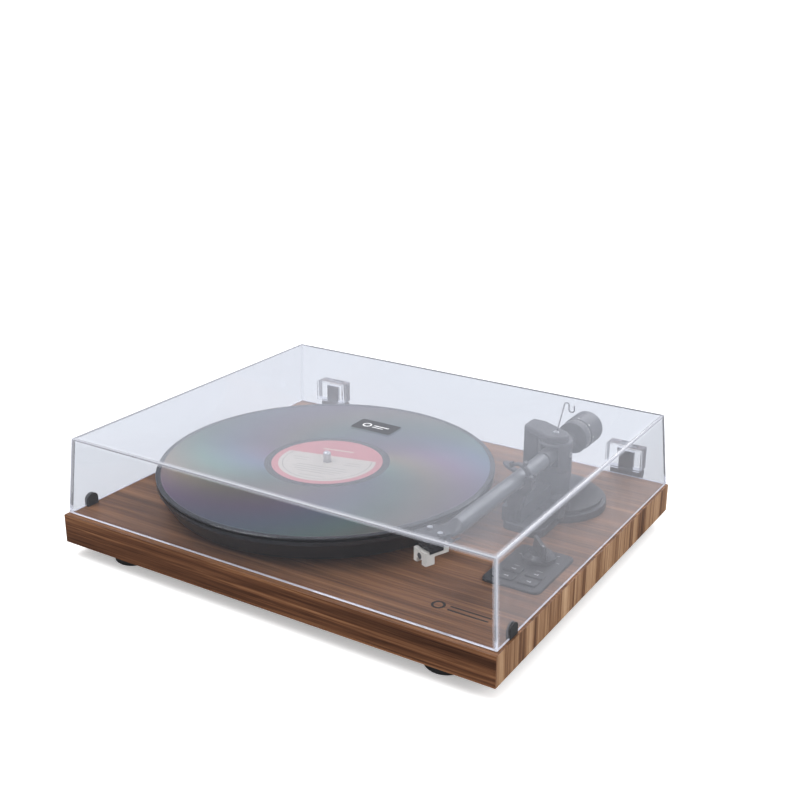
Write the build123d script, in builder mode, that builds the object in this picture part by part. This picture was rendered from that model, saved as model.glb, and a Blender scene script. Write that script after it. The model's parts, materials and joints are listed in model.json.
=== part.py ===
from build123d import *
from math import atan, cos, degrees, radians, sin
import os

# Belt-drive record player: veneered plinth, clear hinged cover, platter with a record,
# straight tonearm on a round base, control plate, rear sockets.
# Millimetres. Z = 0 is the surface it stands on, X runs to the right, -Y is the front.

# ---- plinth and feet
plinth_w = 420.0
plinth_d = 343.0
plinth_t = 25.8
deck_t = 6.0
rail_w = 18.0
cover_t = 3.0
cover_lap = 8.0
foot_h = 12.5
foot_r = 17.0
foot_top_r = 14.5
foot_inset = 27.0
foot_plug_r = 4.0
screw_r = 1.6
screw_head_r = 3.4
screw_head_t = 1.8
screw_gap = 0.1
slip = 0.3

# ---- hinges at the rear edge
hinge_inset = 44.0
hinge_w = 32.0
hinge_back = 5.0
hinge_rise = 3.0
knuckle_r = 4.5
hinge_pin_r = 1.5
run_fit = 0.08
leaf_w = 14.0
leaf_t = 4.0
leaf_up = 21.0
hinge_reach = hinge_back + knuckle_r

# ---- dust cover
lid_h = 69.5
lid_wall = 3.0
lid_draft = 5.5
lid_edge_side = 1.8
lid_edge_front = 4.3
lid_edge_rear = 1.1
lid_gap = 1.0
lid_round = 1.6
bumper_l = 12.0
bumper_h = 11.0
bumper_wrap = 2.0
bumper_back = 25.0

# ---- platter, record and bearing
platter_dx = -47.0
platter_dy = -8.0
platter_gap = 4.3
platter_top_r = 150.4
platter_foot_r = 140.6
platter_h = 19.2
platter_web = 6.0
cavity_r = 112.0
mat_t = 1.7
mat_r = 146.0
record_t = 1.8
record_r = 150.8
groove_r = 146.3
label_r = 50.0
label_t = 0.15
spindle_r = 3.55
spindle_neck_r = 3.0
bearing_shaft_r = 4.0
spindle_round = 2.6
spindle_over = 9.5
spindle_hole_gap = 0.08
sub_r = 75.0
sub_wall = 4.0
sub_web = 3.0
hub_r = 12.0
sleeve_r = 8.0
flange_r = 20.0
flange_t = 2.5

# ---- motor
motor_reach = 92.0
motor_angle = 135.0
motor_r = 17.0
motor_t = 13.0
motor_flange_r = 25.0
motor_flange_t = 3.0
motor_boss_r = 6.0
motor_shaft_r = 1.2
pulley_r = 7.0
pulley_t = 9.0
belt_w = 4.0
belt_t = 0.8
belt_gap = 0.35

# ---- control plate
control_inset_x = 37.5
control_front = 125.0
control_w = 47.0
control_l = 70.0
control_t = 2.2
control_round = 6.0
knob_back = 17.0
knob_skirt_r = 13.5
knob_skirt_t = 3.0
knob_h = 15.0
knob_bar_w = 6.5
knob_shaft_r = 3.0
knob_rest_angle = -48.0
button_w = 15.5
button_l = 9.5
button_pitch_x = 19.3
button_pitch_y = 13.0
button_front = 16.8
button_proud = 1.2
button_travel = 0.9
button_gap = 0.25
button_stem_r = 2.0
board_t = 1.6
tact_h = 3.2

# ---- rear sockets
panel_x = 45.0
window_w = 112.0
window_h = 14.0
panel_t = 2.0
panel_lap = 4.0
rca_pitch = 15.0
rca_r = 4.15
rca_bore_r = 1.7
rca_len = 9.0
dc_size = 9.0
dc_bore_r = 2.8
dc_pin_r = 1.0
post_r = 4.5
switch_travel = 4.0

# ---- tonearm
pivot_dx = 135.0
pivot_dy = 81.0
arm_z = 46.0
base_r = 45.0
base_t = 7.0
base_step_r = 41.0
base_step_t = 2.5
base_spigot_r = 12.5
turret_r = 15.0
gimbal_r = 15.0
gimbal_low = 15.0
gimbal_high = 11.0
gimbal_gap = 0.5
slot_half_h = 9.0
barrel_r = 7.8
barrel_gap = 0.6
barrel_front = 26.0
barrel_back = 27.0
pivot_pin_r = 1.6
yaw_spigot_r = 4.0
yaw_spigot_h = 4.0
roof_t = 5.5
roof_nose_r = 11.5
column_w = 15.0
column_d = 20.0
column_off_x = -25.5
column_off_y = 13.0
tube_r = 6.7
tube_wall = 0.9
tube_len = 151.0
spigot_len = 12.0
offset_angle = 22.4
neck_len = 12.0
shell_w = 20.5
shell_t = 4.0
shell_len = 30.0
shell_rear = 8.0
shell_screw_pitch = 12.7
shell_screw_at = 16.8
stylus_ahead = 9.5
stylus_drop = 18.2
cart_w = 15.6
cart_rear = 12.4
cart_front = 26.0
cart_h = 7.6
weight_r = 15.0
weight_len = 25.0
dial_len = 10.5
dial_gap = 0.5
weight_start = 47.0
weight_shaft_r = 4.0
weight_shaft_len = 34.0

# ---- arm rest, clip and lift
rib_w = 17.5
rib_left = 13.5
rib_front = 75.0
rib_back = 10.0
rib_h = 19.7
rest_reach = 72.0
rest_d = 8.0
rest_gap = 0.9
clip_in_r = 7.4
clip_t = 2.2
clip_hinge_x = 11.0
clip_hinge_z = 2.0
clip_open = 24.0
clip_pin_r = 1.0
lift_reach = 44.0
lift_w = 5.0
lift_t = 2.5
lift_gap = 0.4
lift_post_r = 2.5
lift_post_angle = 12.0
lift_from = -5.0
lift_to = 50.0
lever_x = 22.0
lever_y = -33.0
lever_z = 14.0
lever_pin_r = 2.0
lever_len = 27.0

# ---- places worked out from the sizes above
deck_z = foot_h + plinth_t
deck_low = deck_z - deck_t
base_z = foot_h
cavity_low = foot_h + cover_t
plinth_y = -hinge_reach / 2
front_y = plinth_y - plinth_d / 2
rear_y = plinth_y + plinth_d / 2
platter_x = platter_dx
platter_y = plinth_y + platter_dy
platter_low = deck_z + platter_gap
platter_top = platter_low + platter_h
mat_top = platter_top + mat_t
record_top = mat_top + record_t
sub_top = platter_top - platter_web
motor_x = platter_x + motor_reach * cos(radians(motor_angle))
motor_y = platter_y + motor_reach * sin(radians(motor_angle))
motor_low = deck_low - motor_flange_t - motor_t
belt_z = deck_z + 9.0
control_x = plinth_w / 2 - control_inset_x
control_y = front_y + control_front
knob_x = control_x
knob_y = control_y + knob_back
button_y = control_y - button_front
board_z = deck_low - 3.0 - board_t
pivot_x = pivot_dx
pivot_y = plinth_y + pivot_dy
axis_z = deck_z + arm_z
gimbal_bottom = axis_z - gimbal_low
gimbal_top = axis_z + gimbal_high
roof_low = gimbal_top + gimbal_gap
roof_top = roof_low + roof_t
base_top = deck_z + base_t + base_step_t
rib_top = deck_z + rib_h
hinge_x = plinth_w / 2 - hinge_inset
hinge_y = rear_y + hinge_back
hinge_z = deck_z + hinge_rise
panel_z = (deck_low + cavity_low) / 2
panel_y = rear_y - rail_w

os.makedirs("parts", exist_ok=True)


def save(piece, name):
    piece.part.label = name
    export_step(piece.part, f"parts/{name}.step")


def at(x, y, z):
    return Plane(origin=(x, y, z))


def facing(x, y, z, direction, x_dir=(1, 0, 0)):
    return Plane(origin=(x, y, z), x_dir=x_dir, z_dir=direction)


# ================================================================ plinth
inner_w = plinth_w - 2 * rail_w
inner_d = plinth_d - 2 * rail_w
cover_w = inner_w + 2 * cover_lap
cover_d = inner_d + 2 * cover_lap
cover_screw_places = [
    (sx * (cover_w / 2 - cover_lap / 2), plinth_y + sy * cover_d / 4)
    for sx in (-1, 1) for sy in (-1, 0, 1)
] + [(0, plinth_y + sy * (cover_d / 2 - cover_lap / 2)) for sy in (-1, 1)]
foot_x = plinth_w / 2 - foot_inset - foot_r - 10.0
foot_dy = plinth_d / 2 - foot_inset
foot_places = {
    "front_left": (-foot_x, plinth_y - foot_dy),
    "front_right": (foot_x, plinth_y - foot_dy),
    "rear_left": (-foot_x, plinth_y + foot_dy),
    "rear_right": (foot_x, plinth_y + foot_dy),
}
motor_screw_r = 21.5
deck_cut_w = 36.0

with BuildPart() as deck_panel:
    with BuildSketch(at(0, plinth_y, deck_low)):
        Rectangle(plinth_w, plinth_d)
    extrude(amount=deck_t)
    with BuildSketch(at(platter_x, platter_y, deck_low)):
        Circle(sleeve_r + slip)
    extrude(amount=deck_t, mode=Mode.SUBTRACT)
    with BuildSketch(at(motor_x, motor_y, deck_low)):
        Circle(motor_boss_r + 2.0)
        with PolarLocations(motor_screw_r, 3):
            Circle(screw_r + screw_gap)
    extrude(amount=deck_t, mode=Mode.SUBTRACT)
    with BuildSketch(at(pivot_x, pivot_y, deck_low)):
        Circle(base_spigot_r + slip)
    extrude(amount=deck_t, mode=Mode.SUBTRACT)
    with BuildSketch(at(control_x, control_y, deck_low)):
        with Locations((0, -button_front)):
            Rectangle(deck_cut_w, button_pitch_y + button_l + 2.0)
        with Locations((0, knob_back)):
            Circle(knob_shaft_r + 4.0)
    extrude(amount=deck_t, mode=Mode.SUBTRACT)
save(deck_panel, "deck_panel")


cover_screw_len = cover_t + 8.0
half_w = plinth_w / 2
half_d = plinth_d / 2
rail_outlines = {
    "front_rail": [(-half_w, -half_d), (half_w, -half_d),
                   (half_w - rail_w, rail_w - half_d), (rail_w - half_w, rail_w - half_d)],
    "rear_rail": [(-half_w, half_d), (half_w, half_d),
                  (half_w - rail_w, half_d - rail_w), (rail_w - half_w, half_d - rail_w)],
    "left_rail": [(-half_w, -half_d), (-half_w, half_d),
                  (rail_w - half_w, half_d - rail_w), (rail_w - half_w, rail_w - half_d)],
    "right_rail": [(half_w, -half_d), (half_w, half_d),
                   (half_w - rail_w, half_d - rail_w), (half_w - rail_w, rail_w - half_d)],
}
for name, corners in rail_outlines.items():
    with BuildPart() as rail:
        with BuildSketch(at(0, plinth_y, base_z)):
            Polygon(*corners, align=None)
        extrude(amount=plinth_t - deck_t)
        with BuildSketch(at(0, plinth_y, base_z)):
            Rectangle(cover_w + 2 * slip, cover_d + 2 * slip)
        extrude(amount=cover_t, mode=Mode.SUBTRACT)
        with BuildSketch(Plane.XY.offset(base_z)):
            with Locations(*cover_screw_places):
                Circle(screw_r + screw_gap)
        extrude(amount=cover_screw_len + 1.0, mode=Mode.SUBTRACT)
        if name == "rear_rail":
            with BuildSketch(facing(panel_x, rear_y, panel_z, (0, -1, 0))):
                Rectangle(window_w, window_h)
            extrude(amount=rail_w, mode=Mode.SUBTRACT)
    save(rail, name)

vent_l = 40.0
vent_w = 3.0
with BuildPart() as bottom_cover:
    with BuildSketch(at(0, plinth_y, base_z)):
        Rectangle(cover_w, cover_d)
        with GridLocations(0, 10.0, 1, 5):
            SlotOverall(vent_l, vent_w, mode=Mode.SUBTRACT)
    extrude(amount=cover_t)
    with BuildSketch(Plane.XY.offset(base_z)):
        with Locations(*cover_screw_places):
            Circle(screw_r + screw_gap)
        with Locations(*foot_places.values()):
            Circle(foot_plug_r + screw_gap)
    extrude(amount=cover_t, mode=Mode.SUBTRACT)
save(bottom_cover, "bottom_cover")

with BuildPart() as cover_screws:
    with BuildSketch(Plane.XY.offset(base_z)):
        with Locations(*cover_screw_places):
            Circle(screw_r)
    extrude(amount=cover_screw_len)
    with BuildSketch(Plane.XY.offset(base_z - screw_head_t)):
        with Locations(*cover_screw_places):
            Circle(screw_head_r)
    extrude(amount=screw_head_t)
save(cover_screws, "cover_screws")

for name, (x, y) in foot_places.items():
    with BuildPart() as foot:
        with BuildSketch(facing(x, y, 0, (0, -1, 0))):
            with BuildLine():
                Polyline((0, 1.5), (foot_r - 5.0, 1.5), (foot_r - 4.0, 0), (foot_r - 1.2, 0),
                         (foot_r, 1.2), (foot_r, 6.0), (foot_top_r, 8.0), (foot_top_r, foot_h),
                         (foot_plug_r, foot_h), (foot_plug_r, foot_h + cover_t - 0.4),
                         (0, foot_h + cover_t - 0.4), close=True)
            make_face()
        revolve(axis=Axis((x, y, 0), (0, 0, 1)))
    save(foot, f"foot_{name}")

# ================================================================ bearing and platter
shaft_low = deck_z - 14.0
with BuildPart() as bearing_housing:
    with BuildSketch(at(platter_x, platter_y, deck_z)):
        Circle(flange_r)
    extrude(amount=flange_t)
    with BuildSketch(at(platter_x, platter_y, shaft_low - 2.5)):
        Circle(sleeve_r)
    extrude(amount=deck_z + flange_t - shaft_low + 2.5)
    with BuildSketch(at(platter_x, platter_y, shaft_low)):
        Circle(bearing_shaft_r + 0.03)
    extrude(amount=deck_z + flange_t - shaft_low, mode=Mode.SUBTRACT)
save(bearing_housing, "bearing_housing")

with BuildPart() as spindle_shaft:
    with BuildSketch(at(platter_x, platter_y, shaft_low)):
        Circle(bearing_shaft_r)
    extrude(amount=sub_top - shaft_low)
    with BuildSketch(at(platter_x, platter_y, sub_top)):
        Circle(spindle_neck_r)
    extrude(amount=record_top - sub_top)
    with BuildSketch(at(platter_x, platter_y, record_top)):
        Circle(spindle_r)
    extrude(amount=spindle_over)
    chamfer(spindle_shaft.faces().sort_by(Axis.Z)[0].edges(), 0.8)
    fillet(spindle_shaft.faces().sort_by(Axis.Z)[-1].edges(), spindle_round)
save(spindle_shaft, "spindle_shaft")

hub_low = deck_z + flange_t + 0.8
with BuildPart() as sub_platter:
    with BuildSketch(facing(platter_x, platter_y, 0, (0, -1, 0))):
        with BuildLine():
            Polyline((bearing_shaft_r, hub_low), (hub_r, hub_low), (hub_r, sub_top - sub_web),
                     (sub_r - sub_wall, sub_top - sub_web), (sub_r - sub_wall, platter_low + 0.6),
                     (sub_r, platter_low + 0.6), (sub_r, sub_top), (bearing_shaft_r, sub_top),
                     close=True)
        make_face()
    revolve(axis=Axis((platter_x, platter_y, 0), (0, 0, 1)))
save(sub_platter, "sub_platter")

rim_lip = 3.0
with BuildPart() as platter:
    with BuildSketch(facing(platter_x, platter_y, 0, (0, -1, 0))):
        with BuildLine():
            Polyline((spindle_r + spindle_hole_gap, sub_top), (cavity_r, sub_top),
                     (cavity_r, platter_low + 2.0), (cavity_r + 3.0, platter_low),
                     (platter_foot_r, platter_low), (platter_top_r, platter_top - rim_lip),
                     (platter_top_r, platter_top), (spindle_r + spindle_hole_gap, platter_top),
                     close=True)
        make_face()
    revolve(axis=Axis((platter_x, platter_y, 0), (0, 0, 1)))
    fillet(platter.edges().filter_by(GeomType.CIRCLE).group_by(Axis.Z)[0].sort_by(SortBy.RADIUS)[-1], 1.5)
save(platter, "platter")

with BuildPart() as slip_mat:
    with BuildSketch(at(platter_x, platter_y, platter_top)):
        Circle(mat_r)
        Circle(spindle_r + spindle_hole_gap, mode=Mode.SUBTRACT)
    extrude(amount=mat_t)
save(slip_mat, "slip_mat")

label_sink = 0.4
groove_sink = 0.25
with BuildPart() as vinyl_record:
    with BuildSketch(facing(platter_x, platter_y, 0, (0, -1, 0))):
        with BuildLine():
            Polyline((spindle_r + spindle_hole_gap, mat_top), (record_r - 0.8, mat_top),
                     (record_r, mat_top + 0.7), (record_r, record_top - 0.5),
                     (record_r - 0.6, record_top), (groove_r, record_top),
                     (groove_r - 1.0, record_top - groove_sink),
                     (label_r + 4.0, record_top - groove_sink),
                     (label_r + 0.1, record_top - label_sink + label_t),
                     (label_r + 0.1, record_top - label_sink),
                     (spindle_r + spindle_hole_gap, record_top - label_sink), close=True)
        make_face()
    revolve(axis=Axis((platter_x, platter_y, 0), (0, 0, 1)))
save(vinyl_record, "vinyl_record")

with BuildPart() as record_label:
    with BuildSketch(at(platter_x, platter_y, record_top - label_sink)):
        Circle(label_r)
        Circle(spindle_r + spindle_hole_gap, mode=Mode.SUBTRACT)
    extrude(amount=label_t)
save(record_label, "record_label")

# ================================================================ motor and belt
with BuildPart() as motor_can:
    with BuildSketch(at(motor_x, motor_y, motor_low)):
        Circle(motor_r)
    extrude(amount=motor_t)
    with BuildSketch(at(motor_x, motor_y, deck_low - motor_flange_t)):
        Circle(motor_flange_r)
    extrude(amount=motor_flange_t)
    with BuildSketch(at(motor_x, motor_y, deck_low)):
        Circle(motor_boss_r)
    extrude(amount=deck_t - 1.0)
    with BuildSketch(at(motor_x, motor_y, motor_low + 2.0)):
        Circle(motor_shaft_r + run_fit)
    extrude(amount=deck_z - 1.0 - motor_low - 2.0, mode=Mode.SUBTRACT)
    with BuildSketch(at(motor_x, motor_y, deck_low - motor_flange_t)):
        with PolarLocations(motor_screw_r, 3):
            Circle(screw_r)
    extrude(amount=motor_flange_t, mode=Mode.SUBTRACT)
save(motor_can, "motor_can")

with BuildPart() as motor_screws:
    with BuildSketch(at(motor_x, motor_y, deck_low - motor_flange_t)):
        with PolarLocations(motor_screw_r, 3):
            Circle(screw_r)
    extrude(amount=motor_flange_t + deck_t)
    with BuildSketch(at(motor_x, motor_y, deck_z)):
        with PolarLocations(motor_screw_r, 3):
            Circle(screw_head_r)
    extrude(amount=screw_head_t)
save(motor_screws, "motor_screws")

with BuildPart() as motor_pulley:
    with BuildSketch(at(motor_x, motor_y, motor_low + 2.2)):
        Circle(motor_shaft_r)
    extrude(amount=belt_z + pulley_t / 2 - motor_low - 2.2)
    with BuildSketch(at(motor_x, motor_y, belt_z - pulley_t / 2)):
        Circle(pulley_r + 1.2)
    extrude(amount=1.2)
    with BuildSketch(at(motor_x, motor_y, belt_z - pulley_t / 2 + 1.2)):
        Circle(pulley_r)
    extrude(amount=pulley_t - 2.4)
    with BuildSketch(at(motor_x, motor_y, belt_z + pulley_t / 2 - 1.2)):
        Circle(pulley_r + 1.2)
    extrude(amount=1.2)
save(motor_pulley, "motor_pulley")

with BuildPart() as drive_belt:
    with BuildSketch(Plane.XY.offset(belt_z - belt_w / 2)):
        make_hull(
            [
                Edge.make_circle(sub_r + belt_gap + belt_t, at(platter_x, platter_y, 0)),
                Edge.make_circle(pulley_r + belt_gap + belt_t, at(motor_x, motor_y, 0)),
            ]
        )
        make_hull(
            [
                Edge.make_circle(sub_r + belt_gap, at(platter_x, platter_y, 0)),
                Edge.make_circle(pulley_r + belt_gap, at(motor_x, motor_y, 0)),
            ],
            mode=Mode.SUBTRACT,
        )
    extrude(amount=belt_w)
save(drive_belt, "drive_belt")

# ================================================================ control plate
button_places = {
    f"button_{row}_{side}": (control_x + sx * button_pitch_x / 2, button_y + sy * button_pitch_y / 2)
    for row, sy in (("rear", 1), ("front", -1)) for side, sx in (("left", -1), ("right", 1))
}
plate_top = deck_z + control_t
with BuildPart() as control_plate:
    with BuildSketch(at(control_x, control_y, deck_z)):
        RectangleRounded(control_w, control_l, control_round)
    extrude(amount=control_t)
    chamfer(control_plate.faces().sort_by(Axis.Z)[-1].edges(), 0.6)
    with BuildSketch(Plane.XY.offset(deck_z)):
        with Locations(*button_places.values()):
            RectangleRounded(button_w + 2 * button_gap, button_l + 2 * button_gap, 1.6)
        with Locations((knob_x, knob_y)):
            Circle(knob_shaft_r + run_fit)
    extrude(amount=control_t, mode=Mode.SUBTRACT)
save(control_plate, "control_plate")

board_top = board_z + board_t
tact_top = board_top + tact_h
tact_gap = 0.15
for name, (x, y) in button_places.items():
    with BuildPart() as button:
        with BuildSketch(at(x, y, deck_z + 0.2)):
            RectangleRounded(button_w, button_l, 1.4)
        extrude(amount=control_t - 0.2 + button_proud)
        fillet(button.faces().sort_by(Axis.Z)[-1].edges(), 0.5)
        with BuildSketch(at(x, y, tact_top + button_travel + tact_gap)):
            Circle(button_stem_r)
        extrude(amount=deck_z + 0.2 - tact_top - button_travel - tact_gap)
    save(button, name)

knob_gap = 0.4
knob_low = plate_top + knob_gap
knob_shaft_end = board_top + 2.0
with BuildPart() as selector_knob:
    with BuildSketch(at(knob_x, knob_y, knob_low)):
        Circle(knob_skirt_r)
    extrude(amount=knob_skirt_t)
    with BuildSketch(at(knob_x, knob_y, knob_low + knob_skirt_t)):
        Circle(knob_skirt_r - 1.0)
    with BuildSketch(at(knob_x, knob_y, knob_low + 6.0)):
        Circle(knob_skirt_r - 4.5)
    loft()
    with BuildSketch(Plane((knob_x, knob_y, knob_low), x_dir=Vector(1, 0, 0).rotate(Axis.Z, knob_rest_angle))):
        SlotOverall(2 * knob_skirt_r - 1.0, knob_bar_w)
    extrude(amount=knob_h, taper=6.0)
    with BuildSketch(at(knob_x, knob_y, knob_shaft_end)):
        Circle(knob_shaft_r)
    extrude(amount=knob_low - knob_shaft_end)
save(selector_knob, "selector_knob")

tact_w = 6.0
rotary_w = 13.0
rotary_h = 5.5
with BuildPart() as button_board:
    with BuildSketch(at(control_x, control_y, board_z)):
        with Locations((0, -button_front)):
            Rectangle(deck_cut_w - 2.0, button_pitch_y + button_l)
        Rectangle(rotary_w + 4.0, 2 * knob_back + rotary_w)
    extrude(amount=board_t)
    with BuildSketch(Plane.XY.offset(board_top)):
        with Locations(*button_places.values()):
            Rectangle(tact_w, tact_w)
    extrude(amount=tact_h)
    with BuildSketch(at(knob_x, knob_y, board_z - rotary_h)):
        Rectangle(rotary_w, rotary_w)
    extrude(amount=rotary_h)
save(button_board, "button_board")

# ================================================================ electronics and rear sockets
main_w = 110.0
main_l = 56.0
main_gap = 12.0
standoff_h = 3.0
main_x = panel_x
main_y = panel_y - panel_t - main_gap - main_l / 2
main_top = cavity_low + standoff_h + board_t
with BuildPart() as main_board:
    with BuildSketch(at(main_x, main_y, cavity_low + standoff_h)):
        Rectangle(main_w, main_l)
    extrude(amount=board_t)
    with BuildSketch(at(main_x, main_y, cavity_low)):
        with GridLocations(main_w - 8.0, main_l - 8.0, 2, 2):
            Circle(2.5)
    extrude(amount=standoff_h)
    with BuildSketch(at(main_x, main_y, main_top)):
        with Locations((-32, 8), (-32, -10), (-18, 10)):
            Circle(4.0)
    extrude(amount=8.5)
    with BuildSketch(at(main_x, main_y, main_top)):
        with Locations((5, 0), (25, 8)):
            Rectangle(10.0, 7.0)
        with Locations((38, -12)):
            Rectangle(16.0, 12.0)
    extrude(amount=2.2)
save(main_board, "main_board")

rca_x = [panel_x + 38.0 + side * rca_pitch / 2 for side in (-1, 1)]
post_x = panel_x + 14.0
dc_x = panel_x - 42.0
switch_x = panel_x - 12.0
switch_w = 7.0
switch_h = 4.0
rca_flange_r = 5.6
rca_flange_t = 1.4
tail_r = 3.2
tail_len = 5.0
panel_h = deck_low - cavity_low - 0.4
with BuildPart() as jack_panel:
    with BuildSketch(facing(0, panel_y, panel_z, (0, -1, 0))):
        with Locations((panel_x, 0)):
            Rectangle(window_w + 2 * panel_lap, panel_h)
        with Locations(*[(x, 0) for x in rca_x]):
            Circle(tail_r + 0.1, mode=Mode.SUBTRACT)
        with Locations((post_x, 0)):
            Circle(1.9, mode=Mode.SUBTRACT)
        with Locations((dc_x, 0)):
            Rectangle(dc_size + 0.2, dc_size + 0.2, mode=Mode.SUBTRACT)
        with Locations((switch_x, 0)):
            Rectangle(switch_w + switch_travel + 0.4, switch_h + 0.4, mode=Mode.SUBTRACT)
    extrude(amount=panel_t)
save(jack_panel, "jack_panel")

with BuildPart() as rca_jacks:
    with BuildSketch(facing(0, panel_y, panel_z, (0, 1, 0), (-1, 0, 0))):
        with Locations(*[(-x, 0) for x in rca_x]):
            Circle(rca_flange_r)
    extrude(amount=rca_flange_t)
    with BuildSketch(facing(0, panel_y, panel_z, (0, 1, 0), (-1, 0, 0))):
        with Locations(*[(-x, 0) for x in rca_x]):
            Circle(rca_r)
    extrude(amount=rca_flange_t + rca_len)
    with BuildSketch(facing(0, panel_y, panel_z, (0, -1, 0))):
        with Locations(*[(x, 0) for x in rca_x]):
            Circle(tail_r)
    extrude(amount=tail_len)
    with BuildSketch(facing(0, panel_y + rca_flange_t, panel_z, (0, 1, 0), (-1, 0, 0))):
        with Locations(*[(-x, 0) for x in rca_x]):
            Circle(rca_bore_r)
    extrude(amount=rca_len, mode=Mode.SUBTRACT)
save(rca_jacks, "rca_jacks")

with BuildPart() as ground_post:
    with BuildSketch(facing(post_x, panel_y - panel_t - 3.0, panel_z, (0, 1, 0))):
        Circle(1.8)
    extrude(amount=panel_t + 3.0 + 10.0)
    with BuildSketch(facing(post_x, panel_y, panel_z, (0, 1, 0))):
        RegularPolygon(post_r, 12)
    extrude(amount=4.5)
save(ground_post, "ground_post")

with BuildPart() as dc_jack:
    with BuildSketch(facing(dc_x, panel_y, panel_z, (0, -1, 0))):
        Rectangle(dc_size, dc_size)
    extrude(amount=11.0)
    with BuildSketch(facing(dc_x, panel_y, panel_z, (0, 1, 0))):
        Circle(dc_size / 2 + 1.2)
        Rectangle(dc_size + 2.0, dc_size + 2.0)
    extrude(amount=1.2)
    with BuildSketch(facing(dc_x, panel_y + 1.2, panel_z, (0, -1, 0))):
        Circle(dc_bore_r)
        Circle(dc_pin_r, mode=Mode.SUBTRACT)
    extrude(amount=10.0, mode=Mode.SUBTRACT)
save(dc_jack, "dc_jack")

with BuildPart() as mode_switch:
    with BuildSketch(facing(switch_x - switch_travel / 2, panel_y - panel_t - 2.5, panel_z, (0, 1, 0))):
        Rectangle(switch_w, switch_h)
    extrude(amount=panel_t + 2.5 + 3.0)
save(mode_switch, "mode_switch")

# ================================================================ tonearm base and tower
def arm_at(dx, dy, z):
    return Plane(origin=(pivot_x + dx, pivot_y + dy, z))


def arm_across(dy, dz=0.0):
    return Plane(origin=(pivot_x, pivot_y + dy, axis_z + dz), x_dir=(1, 0, 0), z_dir=(0, -1, 0))


rib_x = rib_w / 2 - rib_left
pedestal_w = 35.5
pedestal_front = 77.0
pedestal_back = 21.0
lever_block_w = 7.0
lever_gap = 0.4
lever_pin_len = 5.5
lift_angle = radians(lift_post_angle)
lift_x = -lift_reach * sin(lift_angle)
lift_y = -lift_reach * cos(lift_angle)
lift_top = axis_z - tube_r - lift_gap
lift_low = rib_top - 8.0
turret_top = gimbal_bottom - gimbal_gap
with BuildPart() as arm_base:
    with BuildSketch(arm_at(0, 0, deck_z)):
        Circle(base_r)
    extrude(amount=base_t)
    with BuildSketch(arm_at(pedestal_w / 2 - rib_left, -(pedestal_front + pedestal_back) / 2, deck_z)):
        RectangleRounded(pedestal_w, pedestal_front - pedestal_back, 9.0)
    extrude(amount=base_t)
    fillet(arm_base.faces().sort_by(Axis.Z)[-1].edges(), 1.2)
    with BuildSketch(arm_at(0, 0, deck_z + base_t)):
        Circle(base_step_r)
    extrude(amount=base_step_t)
    with BuildSketch(arm_at(rib_x, -(rib_front + rib_back) / 2, deck_z + base_t)):
        RectangleRounded(rib_w, rib_front - rib_back, 2.5)
    extrude(amount=rib_top - deck_z - base_t)
    with BuildSketch(arm_at(lever_x - lever_gap - lever_block_w / 2, lever_y, deck_z + base_t)):
        RectangleRounded(lever_block_w, 14.0, 1.0)
    extrude(amount=lever_z + 5.0 - base_t)
    with BuildSketch(arm_at(0, 0, deck_z + base_t)):
        Circle(turret_r)
    extrude(amount=turret_top - deck_z - base_t)
    with BuildSketch(arm_at(0, 0, turret_top)):
        Circle(yaw_spigot_r)
    extrude(amount=yaw_spigot_h + gimbal_gap)
    with BuildSketch(arm_at(0, 0, deck_z - deck_t + 0.5)):
        Circle(base_spigot_r)
    extrude(amount=deck_t - 0.5)
    with BuildSketch(arm_at(lift_x, lift_y, lift_low - 4.0)):
        Circle(lift_post_r + run_fit)
    extrude(amount=rib_top - lift_low + 4.0, mode=Mode.SUBTRACT)
    with BuildSketch(Plane(origin=(pivot_x + lever_x - lever_gap, pivot_y + lever_y, deck_z + lever_z),
                           x_dir=(0, 1, 0), z_dir=(-1, 0, 0))):
        Circle(lever_pin_r + run_fit)
    extrude(amount=lever_pin_len + 0.5, mode=Mode.SUBTRACT)
save(arm_base, "arm_base")

tower_top_fillet = 1.8
with BuildPart() as pivot_tower:
    with BuildSketch(arm_at(column_off_x, column_off_y, base_top)):
        RectangleRounded(column_w, column_d, 3.0)
    extrude(amount=roof_top - base_top)
    with BuildSketch(arm_at(0, 0, roof_low)):
        Circle(roof_nose_r)
        with Locations((column_off_x, column_off_y)):
            RectangleRounded(column_w, column_d, 3.0)
        make_hull()
    extrude(amount=roof_t)
    fillet(pivot_tower.faces().sort_by(Axis.Z)[-1].edges(), tower_top_fillet)
    with BuildSketch(arm_at(0, 0, roof_low)):
        Circle(pivot_pin_r + 0.02)
    extrude(amount=roof_t, mode=Mode.SUBTRACT)
save(pivot_tower, "pivot_tower")

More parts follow.
